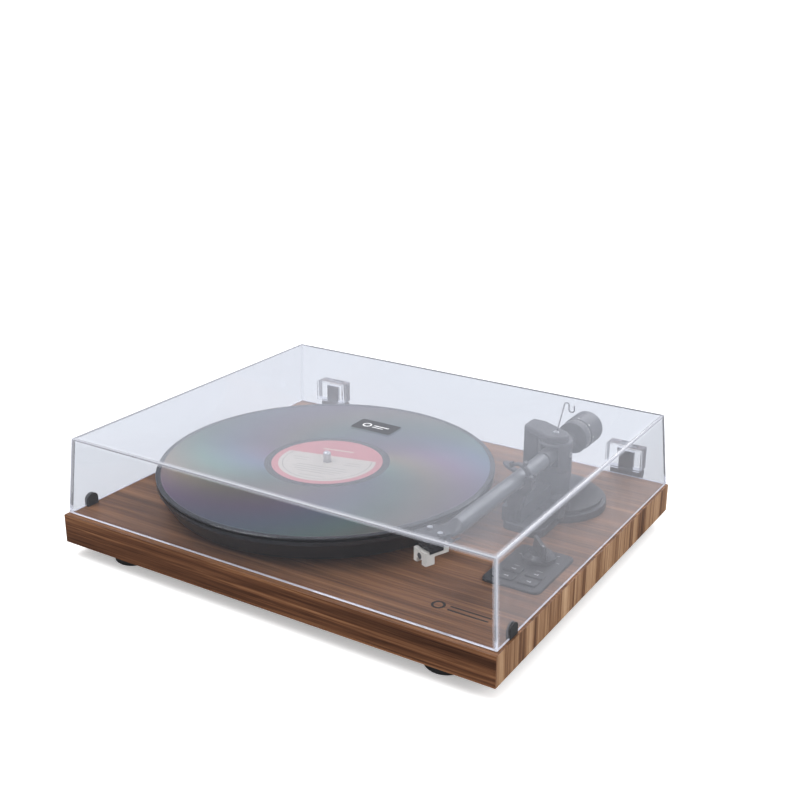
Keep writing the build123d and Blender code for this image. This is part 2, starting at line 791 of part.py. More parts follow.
slot_w = 2 * (barrel_r + barrel_gap)
spot_depth = 1.2
screw_head = 2.6
with BuildPart() as gimbal_housing:
    with BuildSketch(arm_at(0, 0, gimbal_bottom)):
        Circle(gimbal_r)
    extrude(amount=gimbal_low + gimbal_high)
    fillet(gimbal_housing.faces().sort_by(Axis.Z)[-1].edges(), 1.5)
    with BuildSketch(arm_across(gimbal_r)):
        Rectangle(slot_w, 2 * slot_half_h)
    extrude(amount=2 * gimbal_r, mode=Mode.SUBTRACT)
    with BuildSketch(arm_at(0, 0, gimbal_bottom)):
        Circle(yaw_spigot_r + run_fit)
    extrude(amount=yaw_spigot_h + gimbal_gap, mode=Mode.SUBTRACT)
    with BuildSketch(arm_at(0, 0, axis_z + slot_half_h)):
        Circle(pivot_pin_r + run_fit)
    extrude(amount=gimbal_high - slot_half_h, mode=Mode.SUBTRACT)
    with BuildSketch(Plane(origin=(pivot_x - gimbal_r, pivot_y, axis_z), x_dir=(0, 1, 0), z_dir=(1, 0, 0))):
        Circle(pivot_pin_r + 0.02)
    extrude(amount=2 * gimbal_r, mode=Mode.SUBTRACT)
    for side in (-1, 1):
        with BuildSketch(Plane(origin=(pivot_x + side * (gimbal_r - spot_depth), pivot_y, axis_z),
                               x_dir=(0, 1, 0), z_dir=(side, 0, 0))):
            Circle(screw_head + 0.2)
        extrude(amount=spot_depth, mode=Mode.SUBTRACT)
save(gimbal_housing, "gimbal_housing")

cup_depth = 2.6
with BuildPart() as pivot_screws:
    for side in (-1, 1):
        with BuildSketch(Plane(origin=(pivot_x + side * (barrel_r - cup_depth + 0.2), pivot_y, axis_z),
                               x_dir=(0, 1, 0), z_dir=(side, 0, 0))):
            Circle(pivot_pin_r)
        extrude(amount=gimbal_r - spot_depth - barrel_r + cup_depth - 0.2)
        with BuildSketch(Plane(origin=(pivot_x + side * (gimbal_r - spot_depth), pivot_y, axis_z),
                               x_dir=(0, 1, 0), z_dir=(side, 0, 0))):
            Circle(screw_head)
        extrude(amount=1.4)
save(pivot_screws, "pivot_screws")

with BuildPart() as tower_pin:
    with BuildSketch(arm_at(0, 0, axis_z + slot_half_h + 0.3)):
        Circle(pivot_pin_r)
    extrude(amount=roof_top - axis_z - slot_half_h - 0.3)
    with BuildSketch(arm_at(0, 0, roof_top)):
        Circle(screw_head)
    extrude(amount=1.2)
save(tower_pin, "tower_pin")

wire_r = 0.6
wire_root_x = -1.5
wire_root_y = 6.5
wire_back = 71.0
wire_left = -23.5
wire_up = 64.9
wire_top = deck_z + wire_up
with BuildPart() as antiskate_hook:
    with BuildLine():
        FilletPolyline(
            (pivot_x + wire_root_x, pivot_y + wire_root_y, roof_top),
            (pivot_x + wire_root_x, pivot_y + wire_root_y, roof_top + 1.6),
            (pivot_x + wire_left, pivot_y + wire_back, wire_top),
            (pivot_x + wire_left + 4.0, pivot_y + wire_back, wire_top),
            (pivot_x + wire_left + 4.4, pivot_y + wire_back, wire_top - 8.2),
            (pivot_x + wire_left + 9.8, pivot_y + wire_back, wire_top - 8.2),
            (pivot_x + wire_left + 9.4, pivot_y + wire_back, wire_top - 1.6),
            radius=[1.0, 1.4, 1.4, 2.4, 2.4],
        )
    with BuildSketch(arm_at(wire_root_x, wire_root_y, roof_top)):
        Circle(wire_r)
    sweep()
save(antiskate_hook, "antiskate_hook")

# ================================================================ tonearm
with BuildPart() as arm_barrel:
    with BuildSketch(arm_across(barrel_back)):
        Circle(barrel_r)
    extrude(amount=barrel_back + barrel_front)
    chamfer(arm_barrel.faces().sort_by(Axis.Y)[-1].edges(), 1.5)
    chamfer(arm_barrel.faces().sort_by(Axis.Y)[0].edges(), 0.5)
    with BuildSketch(arm_across(-barrel_front)):
        Circle(tube_r - tube_wall - 0.05)
    extrude(amount=spigot_len)
    for side in (-1, 1):
        with BuildSketch(Plane(origin=(pivot_x + side * (barrel_r - cup_depth), pivot_y, axis_z),
                               x_dir=(0, 1, 0), z_dir=(side, 0, 0))):
            Circle(pivot_pin_r + run_fit)
        extrude(amount=cup_depth + 1.0, mode=Mode.SUBTRACT)
save(arm_barrel, "arm_barrel")

with BuildPart() as arm_tube:
    with BuildSketch(arm_across(-barrel_front)):
        Circle(tube_r)
        Circle(tube_r - tube_wall, mode=Mode.SUBTRACT)
    extrude(amount=tube_len)
save(arm_tube, "arm_tube")

shell_dir = Vector(-sin(radians(offset_angle)), -cos(radians(offset_angle)), 0)
shell_side = Vector(cos(radians(offset_angle)), -sin(radians(offset_angle)), 0)
bend = Vector(pivot_x, pivot_y - barrel_front - tube_len - 5.5, axis_z)
shell_top = 3.0
shell_mid = shell_top - shell_t / 2
shell_low = axis_z + shell_top - shell_t
cart_low = shell_low - cart_h


def along_shell(s, dz=0.0):
    return Plane(origin=bend + shell_dir * s + Vector(0, 0, dz), x_dir=shell_side, z_dir=shell_dir)


def over_shell(s, z):
    place = bend + shell_dir * s
    return Plane(origin=(place.X, place.Y, z), x_dir=shell_side, z_dir=(0, 0, 1))


with BuildPart() as headshell:
    with BuildSketch(arm_across(-barrel_front - tube_len)):
        Circle(tube_r)
    with BuildSketch(along_shell(1.0, shell_mid / 2)):
        Ellipse(shell_w * 0.42, tube_r * 0.62)
    with BuildSketch(along_shell(neck_len, shell_mid)):
        Ellipse(shell_w * 0.5, shell_t / 2)
    loft()
    with BuildSketch(over_shell((shell_rear + shell_len) / 2, shell_low)):
        RectangleRounded(shell_w, shell_len - shell_rear, 3.5)
    extrude(amount=shell_t)
    with BuildSketch(over_shell(shell_screw_at, shell_low)):
        with Locations((-shell_screw_pitch / 2, 0), (shell_screw_pitch / 2, 0)):
            Circle(1.3)
    extrude(amount=shell_t, mode=Mode.SUBTRACT)
save(headshell, "headshell")

with BuildPart() as headshell_screws:
    for side in (-1, 1):
        with BuildSketch(over_shell(shell_screw_at, shell_low - 3.0)):
            with Locations((side * shell_screw_pitch / 2, 0)):
                Circle(1.2)
        extrude(amount=shell_t + 3.0)
        with BuildSketch(over_shell(shell_screw_at, shell_low + shell_t)):
            with Locations((side * shell_screw_pitch / 2, 0)):
                Circle(2.2)
        extrude(amount=1.4)
save(headshell_screws, "headshell_screws")

lift_start = 12.2
finger_w = 4.5
finger_t = 1.2
finger_len = 14.0
finger_rise = 5.0
with BuildPart() as finger_lift:
    with BuildSketch(along_shell(lift_start, shell_mid)):
        with BuildLine():
            finger_line = FilletPolyline((shell_w / 2 + finger_t / 2, 0), (shell_w / 2 + finger_len * 0.6, 0),
                                         (shell_w / 2 + finger_len, finger_rise), radius=5.0)
            offset(finger_line, amount=finger_t / 2)
        make_face()
        with Locations((shell_w / 2 + finger_t / 4, 0)):
            Rectangle(finger_t / 2, finger_t)
    extrude(amount=finger_w)
save(finger_lift, "finger_lift")

shell_screw_long = 3.0
with BuildPart() as cartridge_body:
    with BuildSketch(over_shell((cart_rear + cart_front) / 2, cart_low)):
        RectangleRounded(cart_w - 1.6, cart_front - cart_rear, 1.0)
    extrude(amount=cart_h)
    with BuildSketch(over_shell(shell_screw_at, shell_low - 2.2)):
        SlotOverall(shell_screw_pitch + 5.4, 5.0)
    extrude(amount=2.2)
    with BuildSketch(over_shell(shell_screw_at, shell_low - shell_screw_long)):
        with Locations((-shell_screw_pitch / 2, 0), (shell_screw_pitch / 2, 0)):
            Circle(1.25)
    extrude(amount=shell_screw_long, mode=Mode.SUBTRACT)
save(cartridge_body, "cartridge_body")

guard_rear = shell_screw_at + 4.6
guard_front = shell_screw_at + 13.4
guard_h = 8.4
guard_slot_w = 6.0
guard_slot_h = 3.6
guard_lip_h = 2.1
guard_gap = 0.2
holder_rear = 5.8
holder_w = 9.0
holder_h = 4.2
guard_low = cart_low - guard_h
tip_at = shell_screw_at + stylus_ahead
tip_z = axis_z - stylus_drop
with BuildPart() as stylus_assembly:
    with BuildSketch(over_shell((guard_rear + guard_front) / 2, guard_low)):
        RectangleRounded(cart_w, guard_front - guard_rear, 1.2)
    extrude(amount=guard_h)
    with BuildSketch(over_shell((cart_front + guard_gap + guard_front) / 2, cart_low)):
        RectangleRounded(cart_w, guard_front - cart_front - guard_gap, 1.2)
    extrude(amount=guard_lip_h)
    with BuildSketch(over_shell((guard_rear + guard_front) / 2, guard_low)):
        Rectangle(guard_slot_w, guard_front - guard_rear)
    extrude(amount=guard_slot_h, mode=Mode.SUBTRACT)
    with BuildSketch(over_shell((holder_rear + guard_rear) / 2 + 0.5, cart_low - holder_h)):
        RectangleRounded(holder_w, guard_rear - holder_rear + 1.0, 0.8)
    extrude(amount=holder_h)
    with BuildSketch(over_shell(tip_at, tip_z)):
        Circle(0.12)
    with BuildSketch(over_shell(tip_at, tip_z + 1.2)):
        Circle(0.45)
    loft()
    with BuildSketch(over_shell((guard_rear + tip_at) / 2 - 0.5, tip_z + 1.1)):
        Rectangle(0.7, tip_at - guard_rear + 2.0)
    extrude(amount=0.7)
    with BuildSketch(over_shell(guard_rear - 0.8, tip_z + 1.1)):
        Rectangle(2.4, 2.4)
    extrude(amount=cart_low - tip_z - 1.1)
save(stylus_assembly, "stylus_assembly")

with BuildPart() as weight_shaft:
    with BuildSketch(arm_across(barrel_back + weight_shaft_len)):
        Circle(weight_shaft_r)
    extrude(amount=weight_shaft_len)
    chamfer(weight_shaft.faces().sort_by(Axis.Y)[-1].edges(), 0.8)
save(weight_shaft, "weight_shaft")

weight_end_t = 3.0
with BuildPart() as force_dial:
    with BuildSketch(arm_across(weight_start - dial_gap)):
        Circle(weight_r - 0.6)
        with PolarLocations(weight_r - 0.6, 36):
            Circle(0.35, mode=Mode.SUBTRACT)
        Circle(weight_shaft_r + run_fit, mode=Mode.SUBTRACT)
    extrude(amount=dial_len)
save(force_dial, "force_dial")

with BuildPart() as counterweight:
    with BuildSketch(arm_across(weight_start + weight_len)):
        Circle(weight_r)
    extrude(amount=weight_len)
    fillet(counterweight.faces().sort_by(Axis.Y)[-1].edges(), 1.6)
    chamfer(counterweight.faces().sort_by(Axis.Y)[0].edges(), 0.6)
    with BuildSketch(arm_across(weight_start + weight_len - weight_end_t)):
        Circle(weight_shaft_r + run_fit)
    extrude(amount=weight_len - weight_end_t, mode=Mode.SUBTRACT)
save(counterweight, "counterweight")

# ================================================================ arm rest, clip, lift and lever
seat_r = tube_r + rest_gap
rest_low = rib_top - axis_z
rest_wall_x = clip_hinge_x + 3.2
rest_wall_z = clip_hinge_z + 3.4
fork_gap = 5.0
clip_w = fork_gap - 2 * slip
clip_hub_r = 3.0
rest_mid = -rest_reach
with BuildPart() as rest_post:
    with BuildSketch(arm_across(rest_mid + rest_d / 2)):
        Polygon((-7.5, rest_low), (4.0, rest_low), (6.5, -13.0), (rest_wall_x, -6.5), (rest_wall_x, rest_wall_z),
                (0, rest_wall_z), (0, -seat_r), (-9.0, -seat_r), (-10.5, -seat_r - 1.8), (-8.0, -14.0), align=None)
        Circle(seat_r, mode=Mode.SUBTRACT)
        with Locations((0, rest_wall_z / 2)):
            Rectangle(2 * seat_r, rest_wall_z, mode=Mode.SUBTRACT)
    extrude(amount=rest_d)
    with BuildSketch(arm_across(rest_mid + fork_gap / 2)):
        with Locations(((clip_in_r - 0.4 + rest_wall_x) / 2, clip_hinge_z)):
            Rectangle(rest_wall_x - clip_in_r + 0.4, 2 * clip_hub_r + 1.0)
    extrude(amount=fork_gap, mode=Mode.SUBTRACT)
    with BuildSketch(arm_across(rest_mid + rest_d / 2)):
        with Locations((clip_hinge_x, clip_hinge_z)):
            Circle(clip_pin_r)
    extrude(amount=rest_d)
save(rest_post, "rest_post")

clip_end = 165.0
clip_lip = 4.5
clip_x = pivot_x + clip_hinge_x
clip_y = pivot_y + rest_mid + clip_w / 2
clip_z = axis_z + clip_hinge_z
open_cos = cos(radians(clip_open))
open_sin = sin(radians(clip_open))
clip_out_r = clip_in_r + clip_t
lip_root_x = -clip_hinge_x + (clip_in_r + clip_t / 2) * cos(radians(clip_end))
lip_root_z = -clip_hinge_z + (clip_in_r + clip_t / 2) * sin(radians(clip_end))
with BuildPart() as rest_clip:
    with BuildSketch(Plane(origin=(clip_x, clip_y, clip_z), x_dir=(open_cos, 0, -open_sin), z_dir=(0, -1, 0))):
        with Locations((-clip_hinge_x, -clip_hinge_z)):
            Circle(clip_out_r)
            Circle(clip_in_r, mode=Mode.SUBTRACT)
        with Locations((-clip_hinge_x, -clip_hinge_z - clip_out_r / 2)):
            Rectangle(3 * clip_out_r, clip_out_r, mode=Mode.SUBTRACT)
        with BuildLine():
            Polyline((-clip_hinge_x, -clip_hinge_z), (-clip_hinge_x - 12.0, -clip_hinge_z),
                     (-clip_hinge_x - 12.0, -clip_hinge_z + 3.2), close=True)
        make_face(mode=Mode.SUBTRACT)
        with Locations((0, 0)):
            Circle(clip_hub_r)
        with Locations((-clip_hinge_x + 0.8, clip_out_r - clip_hinge_z + 1.6)):
            Rectangle(2.6, 4.4)
        with Locations(Location((lip_root_x - 1.0, lip_root_z + 1.4), 125.0)):
            Rectangle(clip_lip, clip_t)
        with Locations((0, 0)):
            Circle(clip_pin_r + run_fit, mode=Mode.SUBTRACT)
    extrude(amount=clip_w)
save(rest_clip, "rest_clip")

lift_arc_r = lift_reach
lift_span = lift_to - lift_from
with BuildPart() as cue_lifter:
    with BuildSketch(arm_at(0, 0, lift_top - lift_t)):
        with BuildLine():
            CenterArc((0, 0), lift_arc_r - lift_w / 2, -90.0 - lift_to, lift_span)
            CenterArc((0, 0), lift_arc_r + lift_w / 2, -90.0 - lift_to, lift_span)
            Line((lift_arc_r - lift_w / 2) * Vector(sin(radians(-lift_to)), -cos(radians(lift_to))),
                 (lift_arc_r + lift_w / 2) * Vector(sin(radians(-lift_to)), -cos(radians(lift_to))))
            Line((lift_arc_r - lift_w / 2) * Vector(-sin(radians(lift_from)), -cos(radians(lift_from))),
                 (lift_arc_r + lift_w / 2) * Vector(-sin(radians(lift_from)), -cos(radians(lift_from))))
        make_face()
    extrude(amount=lift_t)
    with BuildSketch(arm_at(lift_x, lift_y, lift_low)):
        Circle(lift_post_r)
    extrude(amount=lift_top - lift_low - lift_t / 2)
save(cue_lifter, "cue_lifter")

lever_hub_r = 3.6
lever_w = 5.0
lever_t = 2.6
lever_out = 5.5
with BuildPart() as cue_lever:
    with BuildSketch(Plane(origin=(pivot_x + lever_x, pivot_y + lever_y, deck_z + lever_z),
                           x_dir=(0, 1, 0), z_dir=(1, 0, 0))):
        Circle(lever_hub_r)
    extrude(amount=lever_w)
    with BuildSketch(Plane(origin=(pivot_x + lever_x, pivot_y + lever_y, deck_z + lever_z),
                           x_dir=(0, 1, 0), z_dir=(-1, 0, 0))):
        Circle(lever_pin_r)
    extrude(amount=lever_pin_len)
    with BuildSketch(arm_at(lever_x + lever_w / 2, lever_y, deck_z + lever_z)):
        with BuildLine():
            Polyline((-lever_w / 2, 0), (lever_w / 2, 0), (lever_w / 2, -7.0),
                     (lever_w / 2 + lever_out, -lever_len + 6.0), (lever_w / 2 + lever_out, -lever_len),
                     (lever_out - lever_w / 2, -lever_len), (lever_out - lever_w / 2, -lever_len + 5.0),
                     (-lever_w / 2, -6.0), close=True)
        make_face()
    extrude(amount=lever_t / 2, both=True)
    fillet(cue_lever.edges().filter_by(Axis.Z).group_by(Axis.Y)[0], 1.6)
save(cue_lever, "cue_lever")

# ================================================================ dust cover and hinges
knuckle_half = leaf_w / 2 + slip
base_plate_t = 4.0
base_plate_h = 21.0
base_plate_low = deck_z - 22.0
for name, side in (("left", -1), ("right", 1)):
    with BuildPart() as hinge_base:
        with BuildSketch(Plane(origin=(side * hinge_x - hinge_w / 2 + 1.0, hinge_y, hinge_z),
                               x_dir=(0, 1, 0), z_dir=(1, 0, 0))):
            Circle(knuckle_r)
            with Locations((base_plate_t / 2 - hinge_back, deck_z - 4.0 - hinge_z)):
                Rectangle(base_plate_t, 6.0)
            make_hull()
        extrude(amount=hinge_w - 2.0)
        with BuildSketch(facing(side * hinge_x, rear_y + base_plate_t, base_plate_low + base_plate_h / 2,
                                (0, -1, 0))):
            RectangleRounded(hinge_w, base_plate_h, 2.0)
        extrude(amount=base_plate_t)
        with BuildSketch(Plane(origin=(side * hinge_x - knuckle_half, hinge_y, hinge_z),
                               x_dir=(0, 1, 0), z_dir=(1, 0, 0))):
            Circle(knuckle_r + slip)
        extrude(amount=2 * knuckle_half, mode=Mode.SUBTRACT)
        with BuildSketch(Plane(origin=(side * hinge_x - hinge_w / 2 + 1.0, hinge_y, hinge_z),
                               x_dir=(0, 1, 0), z_dir=(1, 0, 0))):
            Circle(hinge_pin_r)
        extrude(amount=hinge_w - 2.0)
    save(hinge_base, f"hinge_base_{name}")

with BuildPart() as hinge_leaves:
    for side in (-1, 1):
        with BuildSketch(Plane(origin=(side * hinge_x - leaf_w / 2, hinge_y, hinge_z),
                               x_dir=(0, 1, 0), z_dir=(1, 0, 0))):
            Circle(knuckle_r)
            with Locations((0, leaf_up / 2)):
                Rectangle(leaf_t, leaf_up)
            Circle(hinge_pin_r + run_fit, mode=Mode.SUBTRACT)
        extrude(amount=leaf_w)
save(hinge_leaves, "hinge_leaves")

lid_low = deck_z + lid_gap
lid_top = deck_z + lid_h
lid_rise = lid_top - lid_low
lid_taper = degrees(atan(lid_draft / lid_rise))
lid_w = plinth_w - 2 * lid_edge_side
lid_d = plinth_d - lid_edge_front - lid_edge_rear
lid_y = plinth_y + (lid_edge_front - lid_edge_rear) / 2
lid_front = lid_y - lid_d / 2
lid_rear = lid_y + lid_d / 2
socket_low = hinge_z + knuckle_r + 0.7
socket_top = hinge_z + leaf_up + 5.0
socket_back = hinge_y + 3.8
socket_front = lid_rear - lid_draft - lid_wall / 2
leaf_play = 0.2
with BuildPart() as dust_cover:
    with BuildSketch(at(0, lid_y, lid_low)):
        Rectangle(lid_w, lid_d)
    extrude(amount=lid_rise, taper=lid_taper)
    fillet(dust_cover.faces().sort_by(Axis.Z)[-1].edges(), lid_round)
    with BuildSketch(at(0, lid_y, lid_low)):
        Rectangle(lid_w - 2 * lid_wall, lid_d - 2 * lid_wall)
    extrude(amount=lid_rise - lid_wall, taper=lid_taper, mode=Mode.SUBTRACT)
    with BuildSketch(Plane.XY.offset(socket_low)):
        with Locations(*[(side * hinge_x, (socket_front + socket_back) / 2) for side in (-1, 1)]):
            Rectangle(hinge_w, socket_back - socket_front)
    extrude(amount=socket_top - socket_low)
    with BuildSketch(Plane.XY.offset(socket_low)):
        with Locations(*[(side * hinge_x, hinge_y) for side in (-1, 1)]):
            Rectangle(leaf_w + 2 * leaf_play, leaf_t + 2 * leaf_play)
    extrude(amount=hinge_z + leaf_up + leaf_play - socket_low, mode=Mode.SUBTRACT)
save(dust_cover, "dust_cover")

bumper_low = deck_z + 0.1
bumper_y = lid_front + bumper_back
with BuildPart() as lid_bumpers:
    for side in (-1, 1):
        with BuildSketch(Plane(origin=(side * (lid_w / 2 + 0.4), bumper_y, bumper_low),
                               x_dir=(0, -side, 0), z_dir=(-side, 0, 0))):
            with Locations((0, bumper_l / 4)):
                Rectangle(bumper_l, bumper_l / 2)
            with Locations((0, bumper_l / 2)):
                Ellipse(bumper_l / 2, bumper_h - bumper_l / 2)
        extrude(amount=lid_wall + 0.4 + bumper_wrap)
    add(dust_cover.part, mode=Mode.SUBTRACT)
save(lid_bumpers, "lid_bumpers")
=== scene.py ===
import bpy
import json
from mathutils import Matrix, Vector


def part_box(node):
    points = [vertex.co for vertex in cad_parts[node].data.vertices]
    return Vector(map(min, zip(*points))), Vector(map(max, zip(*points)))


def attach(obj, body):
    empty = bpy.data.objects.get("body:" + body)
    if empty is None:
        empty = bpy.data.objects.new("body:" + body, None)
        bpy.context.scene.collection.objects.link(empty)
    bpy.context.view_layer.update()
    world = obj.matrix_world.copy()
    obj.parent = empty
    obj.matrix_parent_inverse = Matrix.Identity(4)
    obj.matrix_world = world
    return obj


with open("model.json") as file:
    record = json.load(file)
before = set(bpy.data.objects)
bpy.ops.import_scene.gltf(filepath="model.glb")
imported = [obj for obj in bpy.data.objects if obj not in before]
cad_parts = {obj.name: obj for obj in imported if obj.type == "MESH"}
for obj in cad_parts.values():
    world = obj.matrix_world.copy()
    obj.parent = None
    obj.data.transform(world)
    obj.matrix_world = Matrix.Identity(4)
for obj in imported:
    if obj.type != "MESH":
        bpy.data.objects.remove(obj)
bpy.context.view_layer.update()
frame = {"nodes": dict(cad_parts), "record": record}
import json
import math

import bpy
from mathutils import Euler, Vector

NODES = frame["nodes"]
JOINTS = {j["name"]: j for j in frame["record"]["behaviour"]["joints"]}
PLATTER = Vector(JOINTS["platter_spin"]["pos_m"])
PIVOT = Vector(JOINTS["arm_swing"]["pos_m"])
KNOB = Vector(JOINTS["selector_turn"]["pos_m"])
DECK_LOW, DECK_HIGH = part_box("deck_panel")
DECK_Z = DECK_HIGH.z
LID_LOW, LID_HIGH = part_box("dust_cover")
MM = 0.001
LID_LEAN = 5.5 / 68.5  # inward lean of the cover's walls, per unit of height
LID_REAR_SETBACK = 6.1 * MM  # from the hinge line to the cover's rear wall
STICKER_X = 0.6 * MM
STICKER_Y = -5.25 * MM
BLACK = (0.016, 0.016, 0.017)


# ------------------------------------------------------------------ node graph helpers
class Graph:
    def __init__(self, name):
        self.mat = bpy.data.materials.new(name)
        self.mat.use_nodes = True
        self.tree = self.mat.node_tree
        self.tree.nodes.clear()
        self.out = self.add("ShaderNodeOutputMaterial")
        self.shader = self.add("ShaderNodeBsdfPrincipled")
        self.link(self.shader.outputs["BSDF"], self.out.inputs["Surface"])
        coords = self.add("ShaderNodeTexCoord")
        self.coord = coords.outputs["Object"]
        self.normal = coords.outputs["Normal"]
        split = self.add("ShaderNodeSeparateXYZ")
        self.link(self.coord, split.inputs[0])
        self.x, self.y, self.z = split.outputs

    def add(self, kind, **settings):
        node = self.tree.nodes.new(kind)
        for key, value in settings.items():
            setattr(node, key, value)
        return node

    def link(self, a, b):
        self.tree.links.new(a, b)

    def put(self, value, socket):
        if isinstance(value, bpy.types.NodeSocket):
            self.link(value, socket)
        else:
            socket.default_value = value

    def math(self, operation, a, b=0.0, c=None):
        node = self.add("ShaderNodeMath", operation=operation)
        self.put(a, node.inputs[0])
        self.put(b, node.inputs[1])
        if c is not None:
            self.put(c, node.inputs[2])
        return node.outputs[0]

    def set(self, **values):
        for key, value in values.items():
            self.put(value, self.shader.inputs[key.replace("_", " ")])

    def vector(self, x, y, z):
        node = self.add("ShaderNodeCombineXYZ")
        self.put(x, node.inputs[0])
        self.put(y, node.inputs[1])
        self.put(z, node.inputs[2])
        return node.outputs[0]

    def stretched(self, x, y, z):
        """Coordinates scaled by x, y and z."""
        axes = (self.x, self.y, self.z)
        scaled = [self.math("MULTIPLY", axis, factor) for axis, factor in zip(axes, (x, y, z))]
        return self.vector(*scaled)

    def noise(self, vector, scale, detail=3.0, rough=0.5, distort=0.0):
        node = self.add("ShaderNodeTexNoise")
        self.link(vector, node.inputs["Vector"])
        node.inputs["Scale"].default_value = scale
        node.inputs["Detail"].default_value = detail
        node.inputs["Roughness"].default_value = rough
        node.inputs["Distortion"].default_value = distort
        return node.outputs["Fac"]

    def ramp(self, value, stops):
        node = self.add("ShaderNodeValToRGB")
        while len(node.color_ramp.elements) < len(stops):
            node.color_ramp.elements.new(0.5)
        for element, (at, colour) in zip(node.color_ramp.elements, stops):
            element.position = at
            element.color = (*colour, 1.0)
        self.link(value, node.inputs[0])
        return node.outputs[0]

    def mix(self, factor, a, b, kind="MIX"):
        node = self.add("ShaderNodeMix", data_type="RGBA", blend_type=kind)
        self.put(factor, node.inputs["Factor"])
        for value, socket in ((a, node.inputs[6]), (b, node.inputs[7])):
            self.put((*value, 1.0) if isinstance(value, tuple) and len(value) == 3 else value, socket)
        return node.outputs[2]

    def bump(self, height, strength=0.2, distance=0.0005):
        node = self.add("ShaderNodeBump")
        node.inputs["Strength"].default_value = strength
        node.inputs["Distance"].default_value = distance
        self.link(height, node.inputs["Height"])
        self.link(node.outputs[0], self.shader.inputs["Normal"])

    def between(self, value, low, high):
        """1 inside low to high, 0 outside."""
        up = self.math("GREATER_THAN", value, low)
        down = self.math("LESS_THAN", value, high)
        return self.math("MULTIPLY", up, down)

    def rect(self, a, b, a_mid, b_mid, a_len, b_len):
        """1 inside a rectangle of the a and b coordinates."""
        return self.math(
            "MULTIPLY",
            self.between(a, a_mid - a_len / 2, a_mid + a_len / 2),
            self.between(b, b_mid - b_len / 2, b_mid + b_len / 2),
        )

    def any(self, *masks):
        total = masks[0]
        for mask in masks[1:]:
            total = self.math("MAXIMUM", total, mask)
        return total

    def hypot(self, a, b):
        """Distance from the origin of a and b."""
        squares = self.math("ADD", self.math("MULTIPLY", a, a), self.math("MULTIPLY", b, b))
        return self.math("SQRT", squares)

    def polar(self, centre):
        """Radius and angle round a vertical line, and the offsets from it."""
        dx = self.math("SUBTRACT", self.x, centre.x)
        dy = self.math("SUBTRACT", self.y, centre.y)
        return self.hypot(dx, dy), self.math("ARCTAN2", dy, dx), dx, dy

    def turned(self, dx, dy, turn):
        """Offsets along axes turned about the vertical by an angle in radians."""
        cos, sin = math.cos(turn), math.sin(turn)
        u = self.math("ADD", self.math("MULTIPLY", dx, cos), self.math("MULTIPLY", dy, sin))
        v = self.math("SUBTRACT", self.math("MULTIPLY", dy, cos), self.math("MULTIPLY", dx, sin))
        return u, v

    def two_of(self, masks):
        """1 where at least two of the masks are 1."""
        total = masks[0]
        for mask in masks[1:]:
            total = self.math("ADD", total, mask)
        return self.math("GREATER_THAN", total, 1.5)

    def blend(self, factor, a, b):
        """Output of a shader mixed from two shader outputs."""
        node = self.add("ShaderNodeMixShader")
        self.put(factor, node.inputs[0])
        self.link(a, node.inputs[1])
        self.link(b, node.inputs[2])
        return node.outputs[0]

    def matte(self, colour):
        """A diffuse shader of one colour."""
        node = self.add("ShaderNodeBsdfDiffuse")
        node.inputs["Color"].default_value = (*colour, 1.0)
        return node.outputs[0]


def plain(name, colour, rough, metal=0.0, grain=0.06, grain_scale=900.0, coat=0.0, spec=0.5):
    """A plain finish with a fine, faint unevenness in its gloss."""
    g = Graph(name)
    speck = g.noise(g.coord, grain_scale, 2.0)
    g.set(Base_Color=(*colour, 1.0), Metallic=metal, Coat_Weight=coat, Specular_IOR_Level=spec)
    g.put(g.math("MULTIPLY_ADD", speck, grain, rough - grain / 2), g.shader.inputs["Roughness"])
    return g


